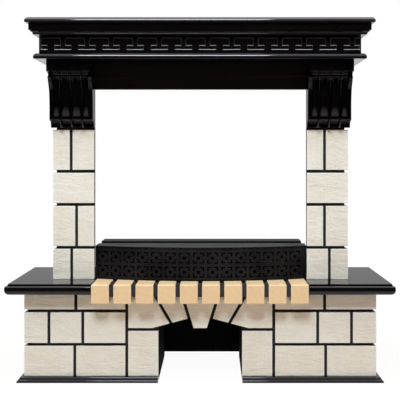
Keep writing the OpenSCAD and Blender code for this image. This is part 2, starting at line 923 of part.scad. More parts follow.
module bracket_screw() {
    translate([0, 0, bracket_t - screw_l]) cylinder(d = screw_d, h = screw_l, $fn = 32);
    translate([0, 0, bracket_t]) cylinder(d = 2 * screw_d, h = screw_d / 2, $fn = 32);
}

module screw_bores() {
    at_brackets() at_screws() translate([0, 0, bracket_t - screw_l - 1])
        cylinder(r = screw_d / 2 + bore_gap, h = screw_l + 1, $fn = 32);
}

module corner_brackets() {
    color(STEEL) at_brackets() corner_bracket();
}

module bracket_screws() {
    color(STEEL) at_brackets() at_screws() bracket_screw();
}

base_front_board();
base_side_board(-1);  // base_side_board_left
base_side_board(1);  // base_side_board_right
niche_sides();
niche_back_panel();
base_rear_rails();
hearth_slab();
slab_batten();
beam_spacers();
for (i = [1:beam_count])
    beam_end(i);
skirting_front(-1);  // skirting_front_left
skirting_front(1);  // skirting_front_right
skirting_returns();
color(STONE) base_course(0);  // base_course_low
color(STONE) base_course(1);  // base_course_middle
color(STONE) base_course(2);  // base_course_top
pier_stone(-1);  // pier_stone_left
pier_stone(1);  // pier_stone_right
springer(-1);  // springer_left
springer(1);  // springer_right
voussoir(-1);  // voussoir_left
voussoir(1);  // voussoir_right
keystone();
column_front_board(-1);  // column_front_board_left
column_front_board(1);  // column_front_board_right
column_side_board(-1);  // column_side_board_left
column_side_board(1);  // column_side_board_right
column_stones(-1, column_splits_left);  // column_stones_left
column_stones(1, column_splits_right);  // column_stones_right
apron_board();
corbel(-1);  // corbel_left
corbel(1);  // corbel_right
mantel_sill();
frieze_front_board();
frieze_side_boards();
fretwork_front();
fretwork_returns();
crown_front();
crown_returns();
mantel_shelf();
mantel_rear_rail();
fender_grille();
fender_rim();
fender_cheeks();
fender_pegs();
ledge_uprights();
ledge_top();
dowels();
corner_brackets();
bracket_screws();
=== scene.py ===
import json
import math
import random

import bmesh
import bpy
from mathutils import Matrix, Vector, noise
from mathutils.geometry import tessellate_polygon


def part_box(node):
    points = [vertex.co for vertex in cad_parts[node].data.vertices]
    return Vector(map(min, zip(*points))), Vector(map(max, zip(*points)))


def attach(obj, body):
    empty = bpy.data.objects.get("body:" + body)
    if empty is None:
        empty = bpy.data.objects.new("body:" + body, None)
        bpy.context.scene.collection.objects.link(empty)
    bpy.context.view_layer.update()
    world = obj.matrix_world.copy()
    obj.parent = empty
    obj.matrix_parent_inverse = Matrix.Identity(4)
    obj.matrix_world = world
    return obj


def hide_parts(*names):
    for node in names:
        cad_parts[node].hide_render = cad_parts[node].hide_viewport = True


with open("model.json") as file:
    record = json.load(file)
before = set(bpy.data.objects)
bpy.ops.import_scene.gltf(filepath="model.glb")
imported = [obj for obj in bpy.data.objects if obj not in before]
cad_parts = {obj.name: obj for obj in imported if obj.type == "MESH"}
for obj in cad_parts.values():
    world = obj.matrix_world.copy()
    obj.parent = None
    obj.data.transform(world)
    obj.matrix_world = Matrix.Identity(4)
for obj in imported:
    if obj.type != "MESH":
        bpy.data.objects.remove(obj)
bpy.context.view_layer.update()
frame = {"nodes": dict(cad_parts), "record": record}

nodes = frame["nodes"]
print("frame loaded,", len(nodes), "nodes")


# Node helpers: an input is either a constant or the socket of another node

def setInputs(tree, node, inputs):
    for key, value in inputs.items():
        if isinstance(value, bpy.types.NodeSocket):
            tree.links.new(value, node.inputs[key])
        else:
            node.inputs[key].default_value = value


def addStep(tree, kind, inputs=None, **settings):
    made = tree.nodes.new(kind)
    for key, value in settings.items():
        setattr(made, key, value)
    setInputs(tree, made, inputs or {})
    return made


def addNode(tree, kind, inputs=None, **settings):
    return addStep(tree, "ShaderNode" + kind, inputs, **settings)


def calculate(tree, operation, *values):
    return addNode(tree, "Math", dict(enumerate(values)), operation=operation).outputs[0]


def mixShaders(tree, factor, first, second):
    inputs = {0: factor, 1: first.outputs[0], 2: second.outputs[0]}
    return addNode(tree, "MixShader", inputs)


# Shader helpers: grain and clouds run in the space of the whole surround

black, white = (0, 0, 0), (1, 1, 1)


def newMaterial(name):
    material = bpy.data.materials.new(name)
    material.use_nodes = True
    tree = material.node_tree
    return material, tree, tree.nodes["Principled BSDF"]


def opaque(colour):
    return colour if isinstance(colour, bpy.types.NodeSocket) else (*colour, 1)


def objectSpace(tree, scale=(1, 1, 1), move=(0, 0, 0)):
    place = addNode(tree, "TexCoord").outputs["Object"]
    inputs = {"Vector": place, "Scale": scale, "Location": move}
    return addNode(tree, "Mapping", inputs).outputs["Vector"]


def grainSpace(tree, along, alongScale, acrossScale):
    scale = tuple(alongScale if axis == along else acrossScale for axis in "XYZ")
    return objectSpace(tree, scale)


def noiseAt(tree, vector, scale=1.0, detail=3.0, roughness=0.5, distortion=0.0):
    inputs = {"Vector": vector, "Scale": scale, "Detail": detail, "Roughness": roughness,
              "Distortion": distortion}
    return addNode(tree, "TexNoise", inputs).outputs["Fac"]


def colourRamp(tree, value, stops):
    made = addNode(tree, "ValToRGB", {"Fac": value})
    elements = made.color_ramp.elements
    while len(elements) < len(stops):
        elements.new(0.5)
    for element, (place, colour) in zip(elements, stops):
        element.position = place
        element.color = opaque(colour)
    return made.outputs["Color"]


def spread(tree, value, low, high, fromLow=0.3, fromHigh=0.7):
    inputs = {"Value": value, "From Min": fromLow, "From Max": fromHigh,
              "To Min": low, "To Max": high}
    return addNode(tree, "MapRange", inputs).outputs["Result"]


def mixColour(tree, factor, first, second):
    inputs = {0: factor, 6: opaque(first), 7: opaque(second)}  # 6 and 7 are the colour sockets
    return addNode(tree, "Mix", inputs, data_type="RGBA").outputs[2]


def addBump(tree, height, distance, strength, under=None):
    inputs = {"Height": height, "Distance": distance, "Strength": strength}
    if under is not None:
        inputs["Normal"] = under
    return addNode(tree, "Bump", inputs).outputs["Normal"]


def pieceValue(tree, name):
    return addNode(tree, "Attribute", attribute_name=name).outputs["Fac"]


def pieceShare(tree, name, most):
    return spread(tree, pieceValue(tree, name), 0.0, most, 0.0, 1.0)


# Finishes

lacquerLook = {
    "ground": (0.0024, 0.0020, 0.0022), "streak": (0.0090, 0.0048, 0.0045),
    # the pale edge colour is a painted highlight on the fretwork's flat edge faces
    "paintedEdgeHighlight": (0.62, 0.63, 0.68), "sheen": (1.0, 0.93, 1.0), "specular": 0.42,
    "roughLow": 0.045, "roughHigh": 0.065,
    "grainAlong": 1.6, "grainAcross": 85.0, "groundTo": 0.42, "streakFrom": 0.78,
    "cloudAlong": 2.0, "cloudAcross": 11.0, "cloudShare": 0.6,
    "poreAlong": 45.0, "poreAcross": 800.0, "poreTo": 0.30, "smoothFrom": 0.42,
    "poreDepth": 0.0000015, "poreStrength": 0.5,
    # these scale the lacquer's colour: painted shade on the corbels, which catch the key light,
    # and painted light on the apron, in shade under the sill
    "carvedPaintedShade": 0.45, "apronPaintedLight": 3.0,
}


def makeLacquer(name, along, shade=1.0):
    look = lacquerLook
    ground, streak = (tuple(part * shade for part in look[key]) for key in ("ground", "streak"))
    material, tree, shader = newMaterial(name)
    grain = grainSpace(tree, along, look["grainAlong"], look["grainAcross"])
    streaks = noiseAt(tree, grain, detail=6.0, roughness=0.62, distortion=0.6)
    wide = grainSpace(tree, along, look["cloudAlong"], look["cloudAcross"])
    clouds = noiseAt(tree, wide, detail=2.0)
    fine = grainSpace(tree, along, look["poreAlong"], look["poreAcross"])
    pores = noiseAt(tree, fine, detail=2.0)
    level = colourRamp(tree, pores, [(look["poreTo"], black), (look["smoothFrom"], white)])
    tint = colourRamp(tree, streaks, [(look["groundTo"], ground), (look["streakFrom"], streak)])
    tint = mixColour(tree, spread(tree, clouds, 0.0, look["cloudShare"]), tint, ground)
    setInputs(tree, shader, {
        # the fretwork's flat edge faces carry a painted highlight through their attribute
        "Base Color": mixColour(tree, pieceValue(tree, "paintedEdgeHighlight"), tint, look["paintedEdgeHighlight"]),
        "Roughness": spread(tree, clouds, look["roughLow"], look["roughHigh"]),
        "Normal": addBump(tree, level, look["poreDepth"], look["poreStrength"]),
        "Specular IOR Level": look["specular"],
        "Specular Tint": opaque(look["sheen"]),
    })
    return material


boardLook = {
    "grainAlong": 2.2, "grainAcross": 70.0, "groundTo": 0.35, "streakFrom": 0.72,
    "foilAlong": 60.0, "foilAcross": 700.0, "foilDepth": 0.00006, "foilStrength": 0.5,
    "shades": {
        "facing": {"ground": (0.0190, 0.0165, 0.0165), "streak": (0.0400, 0.0340, 0.0330),
                   "roughLow": 0.55, "roughHigh": 0.68, "specular": 0.10},
        "inside": {"ground": (0.0040, 0.0020, 0.0018), "streak": (0.0120, 0.0045, 0.0036),
                   "roughLow": 0.86, "roughHigh": 0.95, "specular": 0.04},
    },
}


def makeBoard(along, shade):
    look = dict(boardLook, **boardLook["shades"][shade])
    material, tree, shader = newMaterial(shade + "Board" + along)
    grain = grainSpace(tree, along, look["grainAlong"], look["grainAcross"])
    streaks = noiseAt(tree, grain, detail=5.0, roughness=0.6, distortion=0.5)
    fine = grainSpace(tree, along, look["foilAlong"], look["foilAcross"])
    foil = noiseAt(tree, fine, detail=2.0)
    stops = [(look["groundTo"], look["ground"]), (look["streakFrom"], look["streak"])]
    setInputs(tree, shader, {
        "Base Color": colourRamp(tree, streaks, stops),
        "Roughness": spread(tree, streaks, look["roughLow"], look["roughHigh"]),
        "Normal": addBump(tree, foil, look["foilDepth"], look["foilStrength"]),
        "Specular IOR Level": look["specular"],
    })
    return material


stoneLook = {
    "pale": (0.850, 0.800, 0.700), "warm": (0.780, 0.712, 0.595),
    # edge is the pale colour of a painted highlight along each stone's rim and sides
    "edge": (0.900, 0.870, 0.800), "pit": (0.50, 0.44, 0.34),
    "roughLow": 0.82, "roughHigh": 0.95, "specular": 0.25,
    "cloudScale": 9.0, "cloudFrom": 0.35, "cloudTo": 0.68, "toneShare": 0.55, "edgeHighlightShare": 0.55,
    "pitScale": 420.0, "pitTo": 0.26, "plainFrom": 0.36,
    "waveScale": (16.0, 16.0, 44.0), "waveDepth": 0.0034, "waveStrength": 0.9,
    "rippleScale": (70.0, 70.0, 150.0), "rippleDepth": 0.0016, "rippleStrength": 0.8,
    "grainScale": 260.0, "grainDepth": 0.0008, "grainStrength": 0.6,
}


def makeStone():
    look = stoneLook
    material, tree, shader = newMaterial("castStone")
    space = objectSpace(tree)
    clouds = noiseAt(tree, space, look["cloudScale"], detail=4.0, roughness=0.55, distortion=0.4)
    pits = noiseAt(tree, space, look["pitScale"], detail=2.0)
    waves = noiseAt(tree, objectSpace(tree, look["waveScale"]), detail=5.0, roughness=0.55,
                    distortion=1.2)
    ripples = noiseAt(tree, objectSpace(tree, look["rippleScale"]), detail=4.0, roughness=0.6,
                      distortion=0.8)
    grains = noiseAt(tree, space, look["grainScale"], detail=5.0, roughness=0.65)
    cloudy = spread(tree, clouds, 0.0, 1.0, look["cloudFrom"], look["cloudTo"])
    pitted = colourRamp(tree, pits, [(look["pitTo"], white), (look["plainFrom"], black)])
    tint = mixColour(tree, cloudy, look["pale"], look["warm"])
    tint = mixColour(tree, pieceShare(tree, "tone", look["toneShare"]), tint, look["warm"])
    # painted highlight: the rim attribute pales the rim and the sides
    tint = mixColour(tree, pieceShare(tree, "rim", look["edgeHighlightShare"]), tint, look["edge"])
    normal = addBump(tree, waves, look["waveDepth"], look["waveStrength"])
    normal = addBump(tree, ripples, look["rippleDepth"], look["rippleStrength"], normal)
    normal = addBump(tree, grains, look["grainDepth"], look["grainStrength"], normal)
    setInputs(tree, shader, {
        "Base Color": mixColour(tree, pitted, tint, look["pit"]),
        "Roughness": spread(tree, grains, look["roughLow"], look["roughHigh"]),
        "Normal": normal,
        "Specular IOR Level": look["specular"],
    })
    return material


pineLook = {
    "early": (0.825, 0.580, 0.330), "late": (0.715, 0.465, 0.235),
    # edge is the pale colour of a painted highlight on the eased edges of the beam ends
    "edge": (0.900, 0.730, 0.500), "fleck": (0.60, 0.38, 0.18),
    "roughLow": 0.55, "roughHigh": 0.72, "specular": 0.3,
    "stretch": (1, 0.06, 1), "heart": (0.21, 0.0, -0.05),
    "ringScale": 50 / 3,  # rings 19 mm apart
    "ringBend": 5.0, "ringDetail": 3.0, "ringDetailScale": 1.4, "ringShare": 0.18,
    "fleckScale": 430.0, "fleckFrom": 0.56, "fleckTo": 0.72, "fleckShare": 0.60,
    "fleckDepth": 0.00025, "fleckStrength": 0.6, "toneShare": 0.35, "edgeHighlightShare": 0.75,
}
beechLook = dict(pineLook, early=(0.62, 0.40, 0.20), late=(0.50, 0.30, 0.14))


def makeWood(name, look):
    material, tree, shader = newMaterial(name)
    inputs = {"Vector": objectSpace(tree, look["stretch"], look["heart"]),
              "Scale": look["ringScale"], "Distortion": look["ringBend"],
              "Detail": look["ringDetail"], "Detail Scale": look["ringDetailScale"]}
    rings = addNode(tree, "TexWave", inputs, wave_type="RINGS", rings_direction="Y")
    flecks = noiseAt(tree, objectSpace(tree, look["stretch"]), look["fleckScale"], roughness=0.6)
    ringed = spread(tree, rings.outputs["Fac"], 0.0, look["ringShare"], 0.0, 1.0)
    flecked = spread(tree, flecks, 0.0, look["fleckShare"], look["fleckFrom"], look["fleckTo"])
    tint = mixColour(tree, ringed, look["early"], look["late"])
    tint = mixColour(tree, flecked, tint, look["fleck"])
    tint = mixColour(tree, pieceShare(tree, "tone", look["toneShare"]), tint, look["late"])
    # painted highlight on the eased edges, through the rim attribute
    tint = mixColour(tree, pieceShare(tree, "rim", look["edgeHighlightShare"]), tint, look["edge"])
    setInputs(tree, shader, {
        "Base Color": tint,
        "Roughness": spread(tree, flecks, look["roughLow"], look["roughHigh"]),
        "Normal": addBump(tree, flecks, look["fleckDepth"], look["fleckStrength"]),
        "Specular IOR Level": look["specular"],
    })
    return material


charcoalLook = {
    "coat": (0.0060, 0.0050, 0.0055), "worn": (0.0165, 0.0140, 0.0145),
    "roughLow": 0.50, "roughHigh": 0.62, "specular": 0.16,
    "cloudScale": 14.0, "coatTo": 0.35, "wornFrom": 0.80,
    "powderScale": 900.0, "powderDepth": 0.00012, "powderStrength": 0.5,
}


def makeCharcoal():
    look = charcoalLook
    material, tree, shader = newMaterial("charcoalMetal")
    space = objectSpace(tree)
    clouds = noiseAt(tree, space, look["cloudScale"])
    powder = noiseAt(tree, space, look["powderScale"], detail=2.0)
    stops = [(look["coatTo"], look["coat"]), (look["wornFrom"], look["worn"])]
    setInputs(tree, shader, {
        "Base Color": colourRamp(tree, clouds, stops),
        "Roughness": spread(tree, clouds, look["roughLow"], look["roughHigh"]),
        "Normal": addBump(tree, powder, look["powderDepth"], look["powderStrength"]),
        "Specular IOR Level": look["specular"],
    })
    return material


steelLook = {
    "dull": (0.52, 0.53, 0.56), "bright": (0.66, 0.66, 0.65), "roughLow": 0.28, "roughHigh": 0.42,
    "cloudScale": 90.0, "dullTo": 0.3, "brightFrom": 0.7,
    "brushScale": (60, 900, 900), "brushDepth": 0.00004, "brushStrength": 0.4,
}


def makeSteel():
    look = steelLook
    material, tree, shader = newMaterial("zincSteel")
    brushed = noiseAt(tree, objectSpace(tree, look["brushScale"]))
    clouds = noiseAt(tree, objectSpace(tree), look["cloudScale"])
    stops = [(look["dullTo"], look["dull"]), (look["brightFrom"], look["bright"])]
    setInputs(tree, shader, {
        "Base Color": colourRamp(tree, clouds, stops),
        "Metallic": 1.0,
        "Roughness": spread(tree, brushed, look["roughLow"], look["roughHigh"]),
        "Normal": addBump(tree, brushed, look["brushDepth"], look["brushStrength"]),
    })
    return material


mattLook = {
    "cloudScale": (3, 40, 40), "dust": 1.8, "roughBand": 0.05,
    "peelScale": 500.0, "peelDepth": 0.00008, "peelStrength": 0.5,
    "uses": {
        "ledge": {"ground": (0.0040, 0.0036, 0.0040), "roughness": 0.55, "specular": 0.12},
        "spacer": {"ground": (0.0230, 0.0200, 0.0200), "roughness": 0.40, "specular": 0.40},
        "backPanel": {"ground": (0.0018, 0.0015, 0.0016), "roughness": 0.75, "specular": 0.06},
    },
}


def makeMatt(use):
    look = dict(mattLook, **mattLook["uses"][use])
    material, tree, shader = newMaterial(use + "Matt")
    clouds = noiseAt(tree, objectSpace(tree, look["cloudScale"]), detail=4.0)
    peel = noiseAt(tree, objectSpace(tree), look["peelScale"], detail=2.0)
    dusty = tuple(look["dust"] * part for part in look["ground"])
    setInputs(tree, shader, {
        "Base Color": mixColour(tree, clouds, look["ground"], dusty),
        "Roughness": spread(tree, clouds, look["roughness"] - look["roughBand"],
                            look["roughness"] + look["roughBand"]),
        "Normal": addBump(tree, peel, look["peelDepth"], look["peelStrength"]),
        "Specular IOR Level": look["specular"],
    })
    return material


lacquer = {axis: makeLacquer("lacquer" + axis, axis) for axis in "XY"}
# darker and paler copies of one lacquer: painted shade on the corbels, painted light on the
# shaded apron
lacquer["carved"] = makeLacquer("carvedPaintedShadeLacquerZ", "Z", lacquerLook["carvedPaintedShade"])
lacquer["apron"] = makeLacquer("apronPaintedLightLacquerX", "X", lacquerLook["apronPaintedLight"])
matt = {use: makeMatt(use) for use in mattLook["uses"]}
board = {(axis, shade): makeBoard(axis, shade) for axis in "XZ" for shade in boardLook["shades"]}
castStone = makeStone()
palePine = makeWood("palePine", pineLook)
beech = makeWood("beech", beechLook)
charcoal = makeCharcoal()
zincSteel = makeSteel()
print("finishes made")


# Mesh helpers

meshRules = {
    "weld": 2e-6, "flatDegrees": 0.4, "bevelDegrees": 35, "shortestBevel": 0.006,
    "cutReach": 1e-6, "facing": 0.99,
}


def mergedCopy(name):
    bm = bmesh.new()
    bm.from_mesh(nodes[name].data)
    bmesh.ops.remove_doubles(bm, verts=bm.verts, dist=meshRules["weld"])
    bmesh.ops.dissolve_limit(bm, angle_limit=math.radians(meshRules["flatDegrees"]),
                             verts=bm.verts, edges=bm.edges)
    return bm


def boxOf(points):
    kept = list(points)
    return [Vector([pick(p[k] for p in kept) for k in range(3)]) for pick in (min, max)]


def axisVector(axis):
    return Vector([float(k == axis) for k in range(3)])


def foldAngle(edge):
    return edge.calc_face_angle(0.0) if len(edge.link_faces) == 2 else 0.0


def looseParts(bm):
    seen = set()
    for start in bm.faces:
        if start in seen:
            continue
        seen.add(start)
        part = [start]
        for face in part:  # the list grows while it is walked
            for near in (f for e in face.edges for f in e.link_faces):
                if near not in seen:
                    seen.add(near)
                    part.append(near)
        yield part


def facingFaces(part, outward):
    return [f for f in part if f.normal.dot(outward) > meshRules["facing"]]


def cutPlane(bm, place, direction, **settings):
    return bmesh.ops.bisect_plane(bm, geom=bm.verts[:] + bm.edges[:] + bm.faces[:],
                                  dist=meshRules["cutReach"], plane_co=place,
                                  plane_no=direction, **settings)


def softenEdges(bm, width, segments=2):
    sharp = math.radians(meshRules["bevelDegrees"])
    edges = [e for e in bm.edges
             if foldAngle(e) > sharp and e.calc_length() > meshRules["shortestBevel"]]
    bmesh.ops.bevel(bm, geom=edges, offset=width, offset_type="OFFSET", segments=segments,
                    profile=0.5, affect="EDGES", clamp_overlap=True)


def smoothShading(bm, degrees):
    for face in bm.faces:
        face.smooth = True
    for edge in bm.edges:
        edge.smooth = foldAngle(edge) < math.radians(degrees)


def copyInto(bm, source):
    copied = {v: bm.verts.new(v.co) for v in source.verts}
    for f in source.faces:
        bm.faces.new([copied[v] for v in f.verts])
    return copied


def evaluatedMesh(holder):
    evaluated = holder.evaluated_get(bpy.context.evaluated_depsgraph_get())
    return bpy.data.meshes.new_from_object(evaluated)


def pieceName(node, ending):
    return node.replace("_", "-") + "-" + ending


def placePiece(name, bm, material, body, replaced, weighted=True):
    mesh = bpy.data.meshes.new(name)
    bm.to_mesh(mesh)
    bm.free()
    mesh.materials.append(material)
    piece = bpy.data.objects.new(name, mesh)
    bpy.context.scene.collection.objects.link(piece)
    if weighted:
        piece.modifiers.new("evenShading", "WEIGHTED_NORMAL").keep_sharp = True
        piece.data = evaluatedMesh(piece)
        piece.modifiers.clear()
        piece.data.name = name
    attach(piece, body)
    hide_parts(*replaced)
    return piece


# Boards and mouldings: the finish and the edge rounding of each

mouldedLook = {
    "crease": 32,
    "lacquered": {
        "hearth_slab": ("X", 0), "apron_board": ("apron", 0.0008),
        "skirting_front_left": ("X", 0), "skirting_front_right": ("X", 0),
        "skirting_returns": ("Y", 0), "mantel_sill": ("X", 0), "mantel_shelf": ("X", 0),
        "crown_front": ("X", 0), "crown_returns": ("Y", 0), "ledge_uprights": ("X", 0.0008),
    },
    "matt": {"beam_spacers": ("spacer", 0.0024), "ledge_top": ("ledge", 0.0012)},
}


def makeMoulded(name, finish, rounding):
    bm = mergedCopy(name)
    if rounding:
        softenEdges(bm, rounding)
    smoothShading(bm, mouldedLook["crease"])
    placePiece(pieceName(name, "finished"), bm, finish, "surround", [name])


for name, (along, rounding) in mouldedLook["lacquered"].items():
    makeMoulded(name, lacquer[along], rounding)
for name, (use, rounding) in mouldedLook["matt"].items():
    makeMoulded(name, matt[use], rounding)
print("boards and mouldings made")


# Fretwork strips: sawn outline with a small chamfer; a painted highlight in pale colour lies on
# the flat edge faces

fretLook = {
    # shares of the painted highlight: faint on the chamfer sides, dimmer in the top band as
    # painted shade under the crown
    "chamfer": 0.0011, "chamferSideHighlight": 0.07, "topHighlightInShade": 0.70, "topBand": 0.012,
    "bottomBand": 0.004, "returnFrom": 0.1, "straight": 0.01, "crease": 20,
}


def outlineLoops(faces):
    inside = set(faces)
    following = {}
    for face in faces:
        for loop in face.loops:
            if all(f is face or f not in inside for f in loop.edge.link_faces):
                following.setdefault(loop.vert, []).append(loop.link_loop_next.vert)
    loops = []
    while following:
        chain = [next(iter(following))]
        while chain[-1] in following:
            steps = following[chain[-1]]
            chain.append(steps.pop())
            if not steps:
                del following[chain[-2]]
        points = [v.co.copy() for v in chain[:-1]]
        around = zip(points[-1:] + points[:-1], points, points[1:] + points[:1])
        loops.append([point for before, point, after in around
                      if (point - before).angle(after - point) > fretLook["straight"]])
    return loops


def insetLoop(points, outward, width):
    moved = []
    for k, point in enumerate(points):
        before = outward.cross((point - points[k - 1]).normalized())
        after = outward.cross((points[(k + 1) % len(points)] - point).normalized())
        moved.append(point + (before + after) * (width / (1.0 + before.dot(after))))
    return moved


def sawnStrip(bm, loops, outward, thickness):
    width = fretLook["chamfer"]
    rings = []
    for points in loops:
        inner = insetLoop(points, outward, width)
        rings.append([[bm.verts.new(p) for p in inner],
                      [bm.verts.new(p - outward * width) for p in points],
                      [bm.verts.new(p - outward * thickness) for p in points]])
    for ring in rings:
        for outer, inner in zip(ring, ring[1:]):
            for k in range(len(outer)):
                bm.faces.new((outer[k - 1], outer[k], inner[k], inner[k - 1]))
    for level in (0, 2):
        corners = [v for ring in rings for v in ring[level]]
        for triangle in tessellate_polygon([[v.co for v in ring[level]] for ring in rings]):
            bm.faces.new([corners[k] for k in triangle])


def mitre(bm, place, direction):
    cut = cutPlane(bm, place, Vector(direction).normalized(), clear_outer=True)
    rim = [e for e in cut["geom_cut"]
           if isinstance(e, bmesh.types.BMEdge) and len(e.link_faces) < 2]
    bmesh.ops.triangle_fill(bm, use_beauty=False, edges=rim)


def fretStrip(part):
    low, high = boxOf(v.co for f in part for v in f.verts)
    left, right = Vector((low.x, low.y, 0)), Vector((high.x, low.y, 0))
    strip = bmesh.new()
    if high.y - low.y > fretLook["returnFrom"]:
        outward = Vector((math.copysign(1, low.x), 0, 0))
        loops = outlineLoops(facingFaces(part, outward))
        sawnStrip(strip, loops, outward, high.x - low.x)
        mitre(strip, left if low.x < 0 else right, (-outward.x, -1, 0))
    else:
        outward = Vector((0, -1, 0))
        loops = outlineLoops(facingFaces(part, outward))
        sawnStrip(strip, loops, outward, high.y - low.y)
        mitre(strip, left, (-1, 1, 0))
        mitre(strip, right, (1, 1, 0))
    return strip


# Painted highlight: pale colour on the flat edge faces above the bottom band, dimmer in the top
# band as painted shade under the crown, faint on the chamfer sides
def paintEdgeHighlights(bm):
    shade = bm.faces.layers.float.new("paintedEdgeHighlight")
    low, high = boxOf(v.co for v in bm.verts)
    for face in bm.faces:
        height = face.calc_center_median().z
        slopes = 0.3 < max(abs(face.normal.x), abs(face.normal.y)) < 0.9  # a chamfer's side
        if abs(face.normal.z) > 0.5 and height > low.z + fretLook["bottomBand"]:
            inTopBand = height > high.z - fretLook["topBand"]
            face[shade] = fretLook["topHighlightInShade"] if inTopBand else 1.0
        elif slopes and abs(face.normal.z) < 0.1:
            face[shade] = fretLook["chamferSideHighlight"]


def makeFretwork(name, along):
    source = mergedCopy(name)
    bm = bmesh.new()
    for part in looseParts(source):
        strip = fretStrip(part)
        copyInto(bm, strip)
        strip.free()
    source.free()
    bmesh.ops.recalc_face_normals(bm, faces=bm.faces)
    bm.normal_update()
    paintEdgeHighlights(bm)
    smoothShading(bm, fretLook["crease"])
    placePiece(pieceName(name, "sawn"), bm, lacquer[along], "surround", [name],
               weighted=False)


makeFretwork("fretwork_front", "X")
makeFretwork("fretwork_returns", "Y")
print("fretwork made")


# Carcass boards, pegs and brackets keep their shapes

dressed = {
    "base_front_board": board["X", "facing"], "base_rear_rails": board["X", "inside"],
    "slab_batten": board["X", "inside"], "mantel_rear_rail": board["X", "inside"],
    "base_side_board_left": board["Z", "facing"], "base_side_board_right": board["Z", "facing"],
    "niche_sides": board["Z", "inside"], "frieze_side_boards": board["Z", "inside"],
    "column_front_board_left": board["Z", "facing"],
    "column_front_board_right": board["Z", "facing"],
    "column_side_board_left": board["Z", "facing"],
    "column_side_board_right": board["Z", "facing"],
    "niche_back_panel": matt["backPanel"], "frieze_front_board": matt["backPanel"],
    "fender_pegs": zincSteel, "corner_brackets": zincSteel,
}

for name, finish in dressed.items():
    slots = nodes[name].data.materials
    slots.clear()
    slots.append(finish)
print("carcass dressed")


# Fluted dowels and cross-recessed screws, grown with Geometry Nodes on points

pinLook = {
    "flutes": 14, "flute": 0.00035, "headHeight": 0.0022, "shankShare": 0.55,
    "crossLength": 1.1, "crossWidth": 0.26, "crossDepth": 1.2,  # shares of the head
    "headSides": 32, "shankSides": 20, "endBand": 1e-4, "headStep": 1e-5,
    "dowelCrease": 20, "screwCrease": 30,
}


def pinPlaces(name):
    source = mergedCopy(name)
    places = []
    for part in looseParts(source):
        points = {v.co.copy().freeze() for f in part for v in f.verts}
        low, high = boxOf(points)
        size = high - low
        axis = max(range(3), key=lambda k: size[k])
        middle = (low + high) / 2
        ends = []
        for end in (low, high):
            near = [p - middle for p in points if abs(p[axis] - end[axis]) < pinLook["endBand"]]
            ends.append(max((p.length_squared - p[axis] ** 2) ** 0.5 for p in near))
        direction = axisVector(axis)
        if ends[0] > ends[1] + pinLook["headStep"]:
            direction.negate()
        places.append({"middle": middle, "direction": direction, "length": size[axis],
                       "radius": max(ends)})
    source.free()
    return places


def startGroup(name, labels):
    group = bpy.data.node_groups.new(name, "GeometryNodeTree")

    def addSocket(label, kind, way="INPUT"):
        made = group.interface.new_socket(label, in_out=way, socket_type="NodeSocket" + kind)
        return made.identifier

    addSocket("Places", "Geometry")
    sockets = {label: addSocket(label, "Float") for label in labels}
    sockets["Finish"] = addSocket("Finish", "Material")
    addSocket("Pins", "Geometry", "OUTPUT")
    return group, sockets, group.nodes.new("NodeGroupInput").outputs


def endGroup(group, taken, pin):
    turn = addStep(group, "GeometryNodeInputNamedAttribute", {"Name": "turn"},
                   data_type="FLOAT_VECTOR").outputs["Attribute"]
    planted = addStep(group, "GeometryNodeInstanceOnPoints",
                      {"Points": taken["Places"], "Instance": pin, "Rotation": turn})
    realized = addStep(group, "GeometryNodeRealizeInstances", {"Geometry": planted.outputs[0]})
    finished = addStep(group, "GeometryNodeSetMaterial",
                       {"Geometry": realized.outputs[0], "Material": taken["Finish"]})
    group.links.new(finished.outputs[0], group.nodes.new("NodeGroupOutput").inputs[0])


def vectorOf(group, x, y, z):
    return addNode(group, "CombineXYZ", {"X": x, "Y": y, "Z": z}).outputs[0]


def lifted(group, geometry, height):
    inputs = {"Geometry": geometry.outputs[0], "Translation": vectorOf(group, 0.0, 0.0, height)}
    return addStep(group, "GeometryNodeTransform", inputs).outputs[0]


def dowelGroup():
    group, sockets, taken = startGroup("flutedDowel", ("Radius", "Length", "Flute"))
    ring = addStep(group, "GeometryNodeCurveStar",
                   {"Points": pinLook["flutes"], "Outer Radius": taken["Radius"],
                    "Inner Radius": calculate(group, "SUBTRACT", taken["Radius"],
                                              taken["Flute"])})
    top = calculate(group, "MULTIPLY", taken["Length"], 0.5)
    foot = calculate(group, "MULTIPLY", top, -1.0)
    line = addStep(group, "GeometryNodeCurvePrimitiveLine",
                   {"Start": vectorOf(group, 0.0, 0.0, foot),
                    "End": vectorOf(group, 0.0, 0.0, top)})
    body = addStep(group, "GeometryNodeCurveToMesh",
                   {"Curve": line.outputs[0], "Profile Curve": ring.outputs[0],
                    "Fill Caps": True})
    endGroup(group, taken, body.outputs[0])
    return group, sockets


